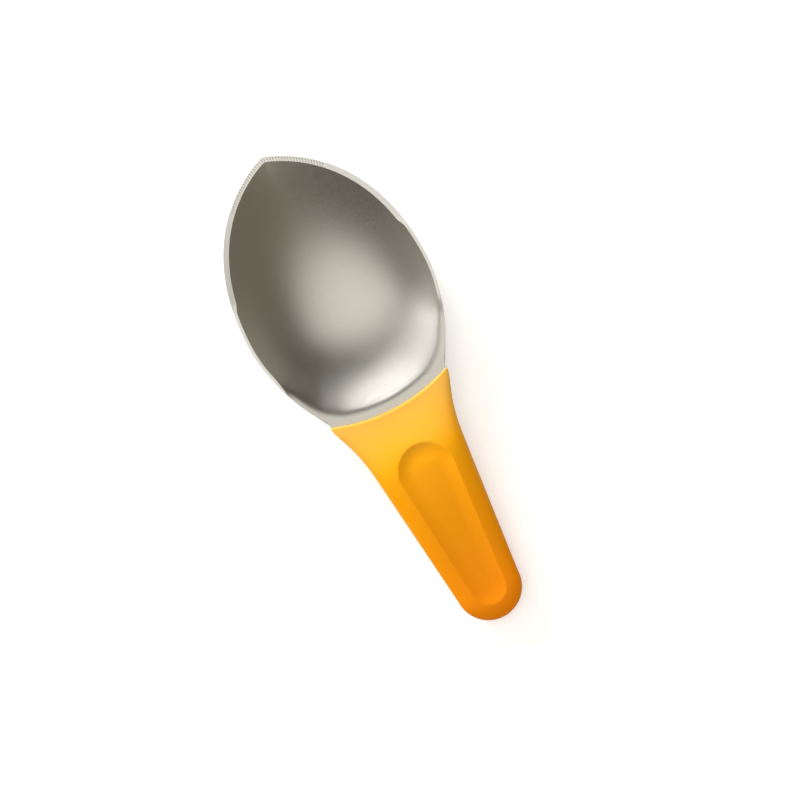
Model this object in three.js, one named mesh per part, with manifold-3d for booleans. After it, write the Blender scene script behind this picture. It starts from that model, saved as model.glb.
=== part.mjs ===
// Watermelon cutter: a leaf-shaped stainless steel scoop with a serrated tip, whose tang is held between
// the two moulded shells of a tapered plastic handle. Millimetres, +Z up, the scoop open upwards.
//
// The tool is drawn in its own frame: x across, y = -(distance from the tip), z = 0 in the plane of the
// rim. It is then tilted to lie as it does on a table, on the belly of the scoop and the handle's flat.
import * as THREE from "three";
import { mergeVertices } from "three/addons/utils/BufferGeometryUtils.js";
import Module from "manifold-3d";

// Scoop: distances from the tip along the tool, half widths across it
const BOWL_HALF_WIDTH = 41.4;
const WIDEST_FROM_TIP = 66.8;
const TIP_BLUNTNESS = 0.7; // how far the edge starts out square to the axis at the tip
const SIDE_REACH_FORWARD = 55; // length of the side's tangent towards the tip
const SIDE_REACH_BACK = 20.2; // and towards the handle
const SHOULDER_FROM_TIP = 109.3; // where the sides end and the rear edge of the cavity starts
const SHOULDER_HALF_WIDTH = 26.9;
const CAVITY_REAR_FROM_TIP = 114.3;
const CORNER_REACH = 9; // rounding of the cavity's rear corners, along each side of the corner
const DEEPEST_FROM_TIP = 70;
const BOWL_DEPTH = 21; // underside of the belly below the rim
const BELLY_FLATNESS = 2.1; // 2 is a round belly, more is flatter with steeper walls
const BELLY_FRONT_REACH = 62; // front half axis of the oval that the lower contours tend to
const RIM_INFLUENCE = 4.5; // more keeps the leaf outline closer to the rim
const TIP_INFLUENCE = 8; // and the same for the tip's sharp corner
const TIP_SOFTNESS = 0.12; // radians over which that corner is rounded below the edge
const STEEL = 1;
const REAR_BEND = 1.4; // easing of the bend from the rear wall into the flange
const REAR_LIP = 1; // flat part of the bend that joins the flange
const BEND_FROM_TIP = 82; // where the cut rim starts to turn out into the flange
const BEND_RUN = 16;

// Ground edge: a bevel inside the front rim, cut across by teeth beside the tip
const BEVEL_WIDTH = 2.5;
const BEVEL_END_FROM_TIP = 47;
const BEVEL_FADE = 5;
const TOOTH_PITCH = 1.25;
const TOOTH_DEPTH = 0.3;
const TOOTH_HALF_WIDTH = 0.5;
const TOOTH_COUNT = 21; // on each side of the tip

// Tang: the flat strip behind the flange that lies inside the handle
const TANG_HALF_WIDTH = 9;
const TANG_LENGTH = 66; // from the rear edge of the cavity
const TANG_SHOULDER = 17; // length over which the flange narrows to the tang
const PEG_RADIUS = 2.2;
const FRONT_PEG_FROM_CAVITY = 28;
const PEG_SPACING = 26;

// Handle
const LENGTH = 215; // tip to handle end
const FLANGE_WIDTH = 2.7; // bare steel between the cavity and the handle
const FRONT_HALF_WIDTH = 27.2;
const FLARE_LENGTH = 28.5; // from the front corners to the start of the straight taper
const FLARE_HOLD = 0.2; // share of the flare that keeps to the front's direction
const FLARE_RUN_OUT = 2 / 3; // and to the taper's
const TAPER_FRONT_HALF_WIDTH = 20.2;
const END_RADIUS = 14;
const TOP_AT_FRONT = 2.4; // heights of the top above the rim plane
const TOP_AT_CREST = 8;
const TOP_AT_END = 4.6;
const CREST_FROM_FRONT = 27;
const BOTTOM_AT_FRONT = 4.4; // depths of the underside below the rim plane
const BOTTOM_AT_HEEL = 11;
const HEEL_FROM_END = 40; // where the flat that lies on the table starts
const UNDERSIDE_ROUND = 7.5; // width of the rounding beside the flat
const MOST_ROUND = 0.85; // the most of a narrow end that the rounding takes
const EDGE_ROUND = 0.9; // rounding of the front edge over the steel
const WALL = 2.2;
const LEAST_ROOF = 0.4; // height left for the hollow where the handle is thinnest
const FRONT_WALL = 6;
const RIB = 1.6;
const RIB_SPACING = 26;
const BOSS_WALL = 2.2;

// Thumb recess in the top of the handle: a round front, a smaller round end and straight sides
const RECESS_FROM_FRONT = 16.5;
const RECESS_FROM_END = 7;
const RECESS_FRONT_RADIUS = 12;
const RECESS_END_RADIUS = 7.4;
const RECESS_DEPTH = 2.2; // at the front
const RECESS_END_DEPTH = 1.2;
const RECESS_WALL = 6.5; // width of its dished wall

const CLEARANCE = 0.3; // between pieces that touch
const TOP_SQUARENESS = 2.6; // exponents of the handle's rounded sections
const END_SQUARENESS = 3.2;
const CORNER_PULL = 0.6; // how far the cavity's corner keeps to its tangents

// Fineness of the meshes
const TIP_STEPS = 24;
const SIDE_STEPS = 12;
const CORNER_STEPS = 6;
const SHOULDER_STEPS = 3;
const REAR_STEPS = 14;
const SHARE_STEP = 1e-3; // for slopes
const BOWL_RINGS = 11;
const FLARE_STEPS = 8;
const TAPER_STEPS = 6;
const END_STEPS = 6;
const END_SWEEP = THREE.MathUtils.degToRad(86);
const SECTION_STEPS = 16;
const FLAT_STEPS = 6;
const RECESS_STEPS = 20;
const RECESS_ACROSS = 12;
const ROUND_STEPS = 20;

const wasm = await Module();
wasm.setup();

const point = (fromTip, across, height) => new THREE.Vector3(across, -fromTip, height);
const ease = (k) => THREE.MathUtils.smoothstep(k, 0, 1);
const lerp = THREE.MathUtils.lerp;

// Solids

// A closed mesh, whose shared vertices are merged, as a solid for joining and cutting.
function solid(geometry) {
  const bare = new THREE.BufferGeometry();
  bare.setAttribute("position", geometry.getAttribute("position"));
  bare.setIndex(geometry.getIndex());
  const merged = mergeVertices(bare, 1e-4);
  const mesh = new wasm.Mesh({
    numProp: 3,
    vertProperties: new Float32Array(merged.getAttribute("position").array),
    triVerts: new Uint32Array(merged.getIndex().array),
  });
  return new wasm.Manifold(mesh);
}

// A solid skinned over rings of points, all of one count. Each end is closed by a strip that joins the
// points on the way out from the first one to those on the way back.
function loft(rings) {
  const count = rings[0].length;
  const points = rings.flat();
  const lastRing = points.length - count;
  const faces = [];
  for (let here = 0; here < lastRing; here += count) {
    const there = here + count;
    for (let i = 0; i < count; i++) {
      const next = (i + 1) % count;
      faces.push([here + i, here + next, there + next], [here + i, there + next, there + i]);
    }
  }
  for (let i = 0; i + 1 < count - i; i++) {
    const [a, b, c, d] = [i, i + 1, count - i - 1, (count - i) % count];
    if (b !== c) faces.push([a, c, b], [lastRing + a, lastRing + b, lastRing + c]);
    if (d !== a) faces.push([a, d, c], [lastRing + a, lastRing + c, lastRing + d]);
  }
  const volume = faces.reduce((sum, [a, b, c]) => {
    const normal = new THREE.Vector3().crossVectors(points[b], points[c]);
    return sum + points[a].dot(normal);
  }, 0);
  const outward = volume > 0 ? faces : faces.map(([a, b, c]) => [a, c, b]);
  const geometry = new THREE.BufferGeometry().setFromPoints(points);
  geometry.setIndex(outward.flat());
  return solid(geometry);
}

function extrude(shape, low, high, steps) {
  const geometry = new THREE.ExtrudeGeometry(shape, {
    depth: high - low,
    bevelEnabled: false,
    curveSegments: steps,
  });
  return solid(geometry.translate(0, 0, low));
}

// An upright cylinder at a distance from the tip, on the centre line.
function post(fromTip, radius, low, high) {
  const geometry = new THREE.CylinderGeometry(radius, radius, high - low, ROUND_STEPS);
  geometry.rotateX(Math.PI / 2).translate(0, -fromTip, (low + high) / 2);
  return solid(geometry);
}

// A plate across the tool that reaches past the handle on every side.
function rib(fromTip) {
  const geometry = new THREE.BoxGeometry(4 * FRONT_HALF_WIDTH, RIB, 2 * (TOP_AT_CREST + BOTTOM_AT_HEEL));
  return solid(geometry.translate(0, -fromTip, 0));
}

function mesh(name, body, material) {
  const { vertProperties, triVerts } = body.getMesh();
  const geometry = new THREE.BufferGeometry();
  geometry.setAttribute("position", new THREE.BufferAttribute(vertProperties, 3));
  geometry.setIndex(new THREE.BufferAttribute(triVerts, 1));
  geometry.computeVertexNormals();
  const piece = new THREE.Mesh(geometry, material);
  piece.name = name;
  return piece;
}

// Outline of the scoop, seen from above, as (distance from tip, half width)

const tipSide = new THREE.CubicBezierCurve(
  new THREE.Vector2(0, 0),
  new THREE.Vector2(0, TIP_BLUNTNESS),
  new THREE.Vector2(WIDEST_FROM_TIP - SIDE_REACH_FORWARD, BOWL_HALF_WIDTH),
  new THREE.Vector2(WIDEST_FROM_TIP, BOWL_HALF_WIDTH),
);
const rearSide = new THREE.QuadraticBezierCurve(
  new THREE.Vector2(WIDEST_FROM_TIP, BOWL_HALF_WIDTH),
  new THREE.Vector2(WIDEST_FROM_TIP + SIDE_REACH_BACK, BOWL_HALF_WIDTH),
  new THREE.Vector2(SHOULDER_FROM_TIP, SHOULDER_HALF_WIDTH),
);

// The arc along the rear of the cavity, through both shoulders.
const rearSagitta = CAVITY_REAR_FROM_TIP - SHOULDER_FROM_TIP;
const rearRadius = (SHOULDER_HALF_WIDTH ** 2 + rearSagitta ** 2) / (2 * rearSagitta);
const rearCentre = CAVITY_REAR_FROM_TIP - rearRadius;
const rearHalfAngle = Math.asin(SHOULDER_HALF_WIDTH / rearRadius);

// The rounded corner between the side and the rear arc, tangent to both.
const sideEnd = rearSide.getUtoTmapping(0, rearSide.getLength() - CORNER_REACH);
const arcEndAngle = rearHalfAngle - CORNER_REACH / rearRadius;
const cornerCurve = roundedCorner();

function roundedCorner() {
  const start = rearSide.getPoint(sideEnd);
  const finish = arcPoint(arcEndAngle);
  const pull = CORNER_REACH * CORNER_PULL;
  const arrive = new THREE.Vector2(Math.sin(arcEndAngle), -Math.cos(arcEndAngle));
  return new THREE.CubicBezierCurve(
    start,
    rearSide.getTangent(sideEnd).multiplyScalar(pull).add(start),
    arrive.multiplyScalar(-pull).add(finish),
    finish,
  );
}

function arcPoint(angle) {
  return new THREE.Vector2(rearCentre + rearRadius * Math.cos(angle), rearRadius * Math.sin(angle));
}

// The rim behind the right side's end: corner, arc and the left side's corner.
function rearRim() {
  const corner = cornerCurve.getPoints(CORNER_STEPS);
  const arc = [];
  for (let i = 1; i < REAR_STEPS; i++) {
    arc.push(arcPoint(lerp(arcEndAngle, -arcEndAngle, i / REAR_STEPS)));
  }
  const mirrored = corner.map((p) => new THREE.Vector2(p.x, -p.y)).reverse();
  return [...corner, ...arc, ...mirrored];
}

// The rim as columns round the bowl: each has its place and how much it belongs to the rear bend.
function rimColumns() {
  const side = tipSide.getPoints(TIP_STEPS);
  for (let i = 1; i < SIDE_STEPS; i++) side.push(rearSide.getPoint((sideEnd * i) / SIDE_STEPS));
  const left = side.slice(1).map((p) => new THREE.Vector2(p.x, -p.y)).reverse();
  return [...side, ...rearRim(), ...left].map((p) => ({
    fromTip: p.x,
    across: p.y,
    rear: ease((p.x - BEND_FROM_TIP) / BEND_RUN),
  }));
}

// How fast the rim falls away from the tip, per radian round the deepest point.
const tipTurn = (DEEPEST_FROM_TIP * (WIDEST_FROM_TIP - SIDE_REACH_FORWARD)) / BOWL_HALF_WIDTH;

// The underside of the bowl in one column, at a share of the way from the deepest point to the rim. Near
// the rim a contour follows the leaf outline, with the tip's corner softened below the edge, and lower down
// it tends to an oval. Towards the rear the sheet turns out into the flange, whose underside lies lower.
function underside(column, share) {
  const along = column.fromTip - DEEPEST_FROM_TIP;
  const rimReach = Math.hypot(along, column.across);
  const cos = along / rimReach;
  const sin = column.across / rimReach;
  const reachAlong = along < 0 ? BELLY_FRONT_REACH : CAVITY_REAR_FROM_TIP - DEEPEST_FROM_TIP;
  const ovalReach = 1 / Math.hypot(cos / reachAlong, sin / BOWL_HALF_WIDTH);
  const aside = Math.atan2(Math.abs(column.across), -along);
  const softReach = rimReach - tipTurn * (Math.hypot(aside, TIP_SOFTNESS) - aside);
  const nearRim = Math.min(share, 1) ** RIM_INFLUENCE;
  const leafReach = lerp(softReach, rimReach, Math.min(share, 1) ** TIP_INFLUENCE);
  const reach = share * lerp(ovalReach, leafReach, nearRim);
  const drop = BOWL_DEPTH * Math.max(1 - share ** BELLY_FLATNESS, 0);
  const eased = lerp(drop, Math.hypot(drop, REAR_BEND) - REAR_BEND, column.rear * nearRim);
  const upright = 1 - column.rear;
  const sunk = (STEEL * (1 - upright ** 2)) / Math.hypot(1, upright);
  return point(DEEPEST_FROM_TIP + reach * cos, reach * sin, -eased - sunk * nearRim);
}

// The upward normal of the underside, from the slope along the column and across it.
function upward(columns, index, share) {
  const count = columns.length;
  const inner = underside(columns[index], share - SHARE_STEP);
  const outer = underside(columns[index], share + SHARE_STEP);
  const before = underside(columns[(index + count - 1) % count], share);
  const after = underside(columns[(index + 1) % count], share);
  const normal = new THREE.Vector3().crossVectors(outer.sub(inner), after.sub(before)).normalize();
  return normal.z < 0 ? normal.negate() : normal;
}

// The wall just below the rim: its rise, and how fast it moves out with the share.
function wallAtRim(column) {
  const step = underside(column, 1).sub(underside(column, 1 - SHARE_STEP));
  const run = Math.hypot(step.x, step.y);
  return { rise: step.z / run, rate: run / SHARE_STEP };
}

// Where the inner face ends below the rim, from the columns as they would be without the rear bend: the
// sheet is cut level along the plain rim, ground back to the bevel's width along the front, and cut square
// where it has turned out into the flange.
function innerEnd(unbent, index, rear) {
  const column = unbent[index];
  const end = 1 + (REAR_LIP * rear) / rearRadius;
  const normal = upward(unbent, index, 1 - SHARE_STEP);
  const lean = Math.hypot(normal.x, normal.y);
  const ground = 1 - ease((column.fromTip - BEVEL_END_FROM_TIP) / BEVEL_FADE);
  const width = lerp(STEEL / lean, BEVEL_WIDTH, ground);
  const back = ((width - STEEL * lean) / wallAtRim(column).rate) * (1 - rear);
  return { outer: end, inner: end - back };
}

function bowl() {
  const columns = rimColumns();
  const unbent = columns.map((column) => ({ ...column, rear: 0 }));
  const ends = columns.map(({ rear }, i) => innerEnd(unbent, i, rear));
  const inner = [];
  const outer = [];
  for (let ring = 1; ring <= BOWL_RINGS; ring++) {
    const share = ring / BOWL_RINGS;
    outer.push(columns.map((column, i) => underside(column, share * ends[i].outer)));
    inner.push(
      columns.map((column, i) => {
        const at = share * ends[i].inner;
        return underside(column, at).addScaledVector(upward(columns, i, at), STEEL);
      }),
    );
  }
  return loft([...inner, ...outer.reverse()]);
}

// A wedge that cuts one tooth gap across the bevel, square to the edge: deepest at the edge, and run out
// where the bevel ends.
function toothCutter(length, side) {
  const k = tipSide.getUtoTmapping(0, length);
  const edge = tipSide.getPoint(k);
  const tangent = tipSide.getTangent(k);
  const inward = new THREE.Vector3(-tangent.x * side, -tangent.y, 0);
  const along = new THREE.Vector3(tangent.y * side, -tangent.x, 0);
  const slope = bevelSlope(edge);
  const axis = inward.clone().multiplyScalar(Math.cos(slope));
  axis.z = -Math.sin(slope);
  const lift = new THREE.Vector3().crossVectors(along, axis).normalize();
  if (lift.z < 0) lift.negate();
  const run = BEVEL_WIDTH / Math.cos(slope);
  const start = point(edge.x, edge.y * side, 0);
  const corner = (reach, deep, across) =>
    start
      .clone()
      .addScaledVector(axis, reach)
      .addScaledVector(lift, deep)
      .addScaledVector(along, across);
  const section = (reach) => {
    const deep = TOOTH_DEPTH * (reach / run - 1);
    return [
      corner(reach, deep, 0),
      corner(reach, deep + 2 * TOOTH_DEPTH, 2 * TOOTH_HALF_WIDTH),
      corner(reach, deep + 2 * TOOTH_DEPTH, -2 * TOOTH_HALF_WIDTH),
    ];
  };
  return loft([section(-STEEL), section(run)]);
}

// The slope of the ground face near the tip, from the wall's lean and the sheet's thickness.
function bevelSlope(edge) {
  const wall = Math.atan(wallAtRim({ fromTip: edge.x, across: edge.y, rear: 0 }).rise);
  const fall = Math.tan(wall) * (BEVEL_WIDTH - STEEL * Math.sin(wall)) - STEEL * Math.cos(wall);
  return Math.atan(Math.max(fall, 0) / BEVEL_WIDTH);
}

// Flange and tang as one flat plate, with room round it where a margin is given.

const tangEnd = CAVITY_REAR_FROM_TIP + TANG_LENGTH;
const handleFront = CAVITY_REAR_FROM_TIP + FLANGE_WIDTH;
const frontPeg = CAVITY_REAR_FROM_TIP + FRONT_PEG_FROM_CAVITY;
const pegs = [frontPeg, frontPeg + PEG_SPACING];

function plateShape(margin) {
  const half = SHOULDER_HALF_WIDTH - CLEARANCE + margin;
  const tang = TANG_HALF_WIDTH + margin;
  const narrow = handleFront + TANG_SHOULDER;
  const pull = TANG_SHOULDER / 2;
  const mouth = handleFront - rearSagitta / 2;
  const mouthHalf = half - (mouth - SHOULDER_FROM_TIP) / 2;
  const lip = 1 + REAR_LIP / 2 / rearRadius;
  const onLip = (p) => new THREE.Vector2(p.y * lip, -lerp(DEEPEST_FROM_TIP, p.x, lip));
  const shape = new THREE.Shape(rearRim().map(onLip).reverse());
  const shoulder = [];
  for (let i = 1; i <= SHOULDER_STEPS; i++) {
    shoulder.push(onLip(rearSide.getPoint(lerp(sideEnd, 1, i / SHOULDER_STEPS))));
  }
  for (const p of shoulder) shape.lineTo(p.x, p.y);
  shape.lineTo(mouthHalf, -mouth);
  shape.bezierCurveTo(mouthHalf - pull / 2, -mouth - pull, tang, -narrow + pull, tang, -narrow);
  shape.lineTo(tang, -tangEnd + TANG_HALF_WIDTH);
  shape.absarc(0, -tangEnd + TANG_HALF_WIDTH, tang, 0, Math.PI, true);
  shape.lineTo(-tang, -narrow);
  shape.bezierCurveTo(-tang, -narrow + pull, -mouthHalf + pull / 2, -mouth - pull, -mouthHalf, -mouth);
  for (const p of shoulder.reverse()) shape.lineTo(-p.x, p.y);
  shape.closePath();
  return shape;
}

function scoop() {
  let body = bowl();
  for (const side of [1, -1]) {
    for (let tooth = 0; tooth < TOOTH_COUNT; tooth++) {
      body = body.subtract(toothCutter((tooth + 0.5) * TOOTH_PITCH, side));
    }
  }
  let plate = extrude(plateShape(0), -STEEL, 0, ROUND_STEPS / 2);
  for (const peg of pegs) {
    plate = plate.subtract(post(peg, PEG_RADIUS + CLEARANCE, -2 * STEEL, STEEL));
  }
  return body.add(plate);
}

// How the tool lies: the tilt at which the belly and the heel of the handle touch the table together.

const heel = LENGTH - HEEL_FROM_END;

function restTilt() {
  const columns = rimColumns();
  const tipColumn = columns[0];
  const rearColumn = columns[columns.length / 2];
  const keel = [];
  for (let ring = 0; ring <= BOWL_RINGS; ring++) {
    keel.push(underside(tipColumn, ring / BOWL_RINGS), underside(rearColumn, ring / BOWL_RINGS));
  }
  const height = (p, tilt) => p.z * Math.cos(tilt) + p.y * Math.sin(tilt);
  const foot = point(heel, 0, -BOTTOM_AT_HEEL);
  let low = 0;
  let high = Math.PI / 4;
  for (let i = 0; i < 50; i++) {
    const tilt = (low + high) / 2;
    const belly = Math.min(...keel.map((p) => height(p, tilt)));
    if (belly < height(foot, tilt)) low = tilt;
    else high = tilt;
  }
  return low;
}

const tilt = restTilt();

// Handle

// The front of the handle is an arc that runs beside the cavity's rear edge.
const frontCorner = SHOULDER_FROM_TIP + FLANGE_WIDTH * Math.cos(rearHalfAngle);
const frontSagitta = handleFront - frontCorner;
const frontRadius = (FRONT_HALF_WIDTH ** 2 + frontSagitta ** 2) / (2 * frontSagitta);
const bow = (across) => frontRadius - Math.sqrt(frontRadius ** 2 - Math.min(across, FRONT_HALF_WIDTH) ** 2);
const taperFront = frontCorner + FLARE_LENGTH;
const endCentre = LENGTH - END_RADIUS;
const taper = (TAPER_FRONT_HALF_WIDTH - END_RADIUS) / (endCentre - taperFront);

// Side of the handle seen from above, as (distance from tip, half width), moved in by an inset.
function handleSide(inset) {
  const runOut = FLARE_LENGTH * FLARE_RUN_OUT;
  const flare = new THREE.CubicBezierCurve(
    new THREE.Vector2(frontCorner, FRONT_HALF_WIDTH),
    new THREE.Vector2(frontCorner + FLARE_LENGTH * FLARE_HOLD, FRONT_HALF_WIDTH),
    new THREE.Vector2(taperFront - runOut, TAPER_FRONT_HALF_WIDTH + taper * runOut),
    new THREE.Vector2(taperFront, TAPER_FRONT_HALF_WIDTH),
  );
  const points = flare.getPoints(FLARE_STEPS).map((p) => ({ fromTip: p.x, half: p.y - inset }));
  const straight = [heel];
  for (let i = 1; i < TAPER_STEPS; i++) straight.push(lerp(taperFront, endCentre, i / TAPER_STEPS));
  for (const fromTip of straight.sort((a, b) => a - b)) {
    points.push({ fromTip, half: END_RADIUS + taper * (endCentre - fromTip) - inset });
  }
  for (let i = 0; i <= END_STEPS; i++) {
    const angle = (i / END_STEPS) * END_SWEEP;
    points.push({
      fromTip: endCentre + (END_RADIUS - inset) * Math.sin(angle),
      half: (END_RADIUS - inset) * Math.cos(angle),
    });
  }
  return points;
}

// Rounding of the handle's end in height: 1 along the handle, falling to 0 at its very end.
function endRounding(fromTip, inset) {
  const past = THREE.MathUtils.clamp((fromTip - endCentre) / (END_RADIUS - inset), 0, 1);
  return (1 - past ** 2) ** (1 / END_SQUARENESS);
}

function topHeight(fromTip) {
  const crest = handleFront + CREST_FROM_FRONT;
  if (fromTip < crest) {
    return lerp(TOP_AT_FRONT, TOP_AT_CREST, ease((fromTip - handleFront) / CREST_FROM_FRONT));
  }
  return lerp(TOP_AT_CREST, TOP_AT_END, ease((fromTip - crest) / (endCentre - crest)));
}

function bottomDepth(fromTip) {
  if (fromTip < heel) {
    return lerp(BOTTOM_AT_FRONT, BOTTOM_AT_HEEL, ease((fromTip - handleFront) / (heel - handleFront)));
  }
  return BOTTOM_AT_HEEL - (fromTip - heel) * Math.tan(tilt);
}

const seam = -STEEL / 2;

// Half a section of the handle above the seam: rounded shoulders and a flat crown.
function topSection(half, height) {
  const points = [];
  for (let i = 0; i <= SECTION_STEPS; i++) {
    const angle = (i / SECTION_STEPS) * Math.PI;
    const across = half * Math.sign(Math.cos(angle)) * Math.abs(Math.cos(angle)) ** (2 / TOP_SQUARENESS);
    points.push({ across, rise: height * Math.sin(angle) ** (2 / TOP_SQUARENESS) });
  }
  return points;
}

// And below it: upright at the seam, rounded into the flat.
function bottomSection(half, height) {
  const round = Math.min(UNDERSIDE_ROUND, half * MOST_ROUND);
  const flat = half - round;
  const right = [];
  for (let i = 0; i <= SECTION_STEPS / 2; i++) {
    const angle = (i / SECTION_STEPS) * Math.PI;
    right.push({ across: flat + round * Math.cos(angle), rise: -height * Math.sin(angle) });
  }
  const middle = [];
  for (let i = 1; i < FLAT_STEPS; i++) {
    middle.push({ across: lerp(flat, -flat, i / FLAT_STEPS), rise: -height });
  }
  const left = right.map(({ across, rise }) => ({ across: -across, rise })).reverse();
  return [...right, ...middle, ...left];
}

// Stations along the handle. Each is bowed like the front edge, less and less along the flare.
function handleStations(inset) {
  return handleSide(inset).map(({ fromTip, half }) => {
    const bowed = 1 - ease((fromTip - frontCorner) / FLARE_LENGTH);
    return { centre: fromTip + bowed * bow(half), half, bowed };
  });
}

// Rings of one half of the handle behind a given front. sign is 1 above the seam and -1 below it, face is
// where the half ends at the seam, drop is taken off its height.
function handleRings(sign, face, inset, drop, front) {
  const stations = handleStations(inset).filter((station) => station.centre >= front);
  return stations.map((station) => handleRing(sign, face, station, inset, drop));
}

// Rings that round the front edge of one half, from its face to its full section.
function frontEdgeRings(sign, face) {
  return [0, Math.PI / 4, Math.PI / 2].map((angle) => {
    const short = EDGE_ROUND * (1 - Math.sin(angle));
    const centre = handleFront + EDGE_ROUND * (1 - Math.cos(angle));
    return handleRing(sign, face, { centre, half: FRONT_HALF_WIDTH - short, bowed: 1 }, 0, short);
  });
}

function outerHalf(sign, face) {
  return loft([...frontEdgeRings(sign, face), ...handleRings(sign, face, 0, 0, handleFront + 2 * EDGE_ROUND)]);
}

// The hollow of one half, open at the seam.
function hollowHalf(sign, face, drop) {
  const past = face - sign * STEEL;
  return loft(handleRings(sign, past, WALL, drop, handleFront + FRONT_WALL)).subtract(ribs());
}

function handleRing(sign, face, station, inset, drop) {
  const { centre, half, bowed } = station;
  const full = sign > 0 ? topHeight(centre) - face : bottomDepth(centre) + face;
  const height = Math.max(full - drop, LEAST_ROOF) * endRounding(centre, inset);
  const section = sign > 0 ? topSection(half, height) : bottomSection(half, height);
  const back = section.slice(1, -1).reverse().map(({ across }) => ({ across, rise: 0 }));
  const place = ({ across, rise }) => point(centre - bowed * bow(Math.abs(across)), across, face + rise);
  return [...section, ...back].map(place);
}

const halfWidthAt = (fromTip) => END_RADIUS + taper * (endCentre - Math.min(fromTip, endCentre));

// Height of the handle's top at a place on the straight taper.
function crown(fromTip, across) {
  const share = Math.min(Math.abs(across) / halfWidthAt(fromTip), 1);
  const height = (topHeight(fromTip) - seam) * endRounding(fromTip, 0);
  return seam + height * (1 - share ** TOP_SQUARENESS) ** (1 / TOP_SQUARENESS);
}

// The thumb recess, seen from above, is a belt round two circles: a large one in front, a small one behind.
const recessFront = handleFront + RECESS_FROM_FRONT + RECESS_FRONT_RADIUS;
const recessRear = LENGTH - RECESS_FROM_END - RECESS_END_RADIUS;
const recessRun = recessRear - recessFront;
const beltSin = (RECESS_FRONT_RADIUS - RECESS_END_RADIUS) / recessRun;
const beltCos = Math.sqrt(1 - beltSin ** 2);

const recessStart = recessFront - RECESS_FRONT_RADIUS;
const recessEnd = recessRear + RECESS_END_RADIUS;

// Depth of the recess: a crisp edge, a wall that runs out into the floor, and a floor that rises to the end.
function recessDepth(fromTip, across) {
  const left = 1 - THREE.MathUtils.clamp(insideRecess(fromTip, across) / RECESS_WALL, 0, 1);
  const floor = lerp(RECESS_DEPTH, RECESS_END_DEPTH, (fromTip - recessStart) / (recessEnd - recessStart));
  return floor * (1 - left ** 2);
}

// How far a place lies inside the belt.
function insideRecess(fromTip, across) {
  const y = fromTip - recessFront;
  const x = Math.abs(across);
  const along = beltCos * y - beltSin * x;
  if (along < 0) return RECESS_FRONT_RADIUS - Math.hypot(x, y);
  if (along > beltCos * recessRun) return RECESS_END_RADIUS - Math.hypot(x, y - recessRun);
  return RECESS_FRONT_RADIUS - beltCos * x - beltSin * y;
}

function recessHalfWidth(fromTip) {
  const y = fromTip - recessFront;
  if (y < beltSin * RECESS_FRONT_RADIUS) return Math.sqrt(RECESS_FRONT_RADIUS ** 2 - y ** 2);
  const past = y - recessRun;
  if (past > beltSin * RECESS_END_RADIUS) return Math.sqrt(Math.max(RECESS_END_RADIUS ** 2 - past ** 2, 0));
  return (RECESS_FRONT_RADIUS - beltSin * y) / beltCos;
}

// The recess as a solid to cut away: a dished wall down to a floor that follows the crown, below a flat lid.
function recessCutter() {
  const lid = TOP_AT_CREST + RECESS_DEPTH;
  const spread = (i, count) => (1 - Math.cos((Math.PI * i) / count)) / 2;
  const rings = [];
  for (let i = 1; i < RECESS_STEPS; i++) {
    const fromTip = lerp(recessStart, recessEnd, spread(i, RECESS_STEPS));
    const half = recessHalfWidth(fromTip);
    const ring = [point(fromTip, -half, lid)];
    for (let k = 0; k <= RECESS_ACROSS; k++) {
      const across = lerp(-half, half, spread(k, RECESS_ACROSS));
      ring.push(point(fromTip, across, crown(fromTip, across) - recessDepth(fromTip, across)));
    }
    ring.push(point(fromTip, half, lid));
    rings.push(ring);
  }
  return loft(rings);
}

// Ribs stand clear of the pegs, at even spacing along the hollow.
function ribs() {
  const first = (pegs[0] + pegs[1]) / 2 - RIB_SPACING;
  let plates = rib(first);
  for (let fromTip = first + RIB_SPACING; fromTip < endCentre; fromTip += RIB_SPACING) {
    plates = plates.add(rib(fromTip));
  }
  return plates;
}

const room = extrude(plateShape(CLEARANCE), -STEEL - CLEARANCE, CLEARANCE, ROUND_STEPS / 2);

function topShell() {
  const face = seam + CLEARANCE / 2;
  let body = outerHalf(1, face).subtract(hollowHalf(1, face, WALL + RECESS_DEPTH));
  body = body.subtract(recessCutter()).subtract(room);
  for (const peg of pegs) {
    const root = topHeight(peg) - RECESS_DEPTH - WALL / 2;
    body = body.add(post(peg, PEG_RADIUS, -STEEL - PEG_RADIUS * 2, root));
  }
  return body;
}

function bottomShell() {
  const face = seam - CLEARANCE / 2;
  let body = outerHalf(-1, face).subtract(hollowHalf(-1, face, WALL)).subtract(room);
  for (const peg of pegs) {
    const top = -STEEL - CLEARANCE;
    const floor = -bottomDepth(peg) + WALL / 2;
    const socket = post(peg, PEG_RADIUS + CLEARANCE, top - PEG_RADIUS * 2 - CLEARANCE, STEEL);
    body = body.add(post(peg, PEG_RADIUS + CLEARANCE + BOSS_WALL, floor, top)).subtract(socket);
  }
  return body;
}

// Assembly

const steel = new THREE.MeshStandardMaterial({ color: 0xb4b0a8, roughness: 0.35, metalness: 1 });
const orange = new THREE.MeshStandardMaterial({ color: 0xf5a314, roughness: 0.45, metalness: 0 });
const orangeBelow = orange.clone();

const tool = new THREE.Group();
tool.name = "watermelon_cutter";
tool.add(mesh("scoop_with_tang", scoop(), steel));
tool.add(mesh("handle_top_shell", topShell(), orange));
tool.add(mesh("handle_bottom_shell", bottomShell(), orangeBelow));
tool.rotation.x = tilt;

// The origin is on the table, below the middle of the tool.
const box = new THREE.Box3().setFromObject(tool, true);
const middle = box.getCenter(new THREE.Vector3());
tool.position.set(-middle.x, -middle.y, -box.min.z);

const cutter = new THREE.Group();
cutter.add(tool);
export default cutter;
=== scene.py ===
import math

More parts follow.
